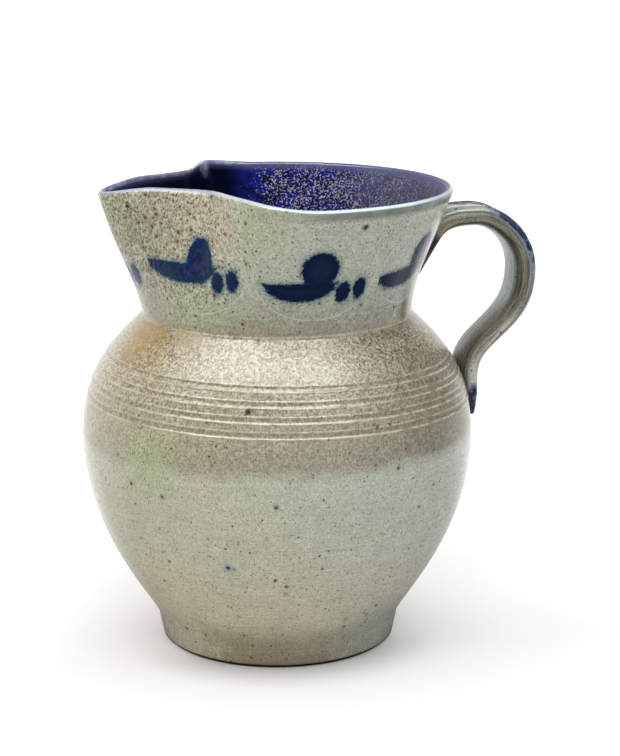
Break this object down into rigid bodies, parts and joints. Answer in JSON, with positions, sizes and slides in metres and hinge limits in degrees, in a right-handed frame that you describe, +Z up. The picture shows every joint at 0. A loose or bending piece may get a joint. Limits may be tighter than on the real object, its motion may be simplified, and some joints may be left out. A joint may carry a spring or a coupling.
{
  "type": "creamer jug",
  "caption": "Round-bellied stoneware jug with a flared neck, a spout pulled from the rim and a strap handle, for pouring cream or milk.",
  "frame": {"origin": "centre of the flat base, on the plane that the jug stands on", "axes": "+Z up along the axis that the body was turned on, +X towards the handle, -X towards the spout"},
  "size_m": [0.1178, 0.1004, 0.1198],
  "materials": {
    "body_glaze": "salt-glazed grey stoneware, orange-peel texture, cobalt inside and in a brushed band on the neck",
    "handle_glaze": "salt-glazed grey-brown stoneware with cobalt along its back"
  },
  "bodies": {
    "root": {"thrown_body": "body_glaze", "pulled_handle": "handle_glaze"}
  },
  "joints": []
}
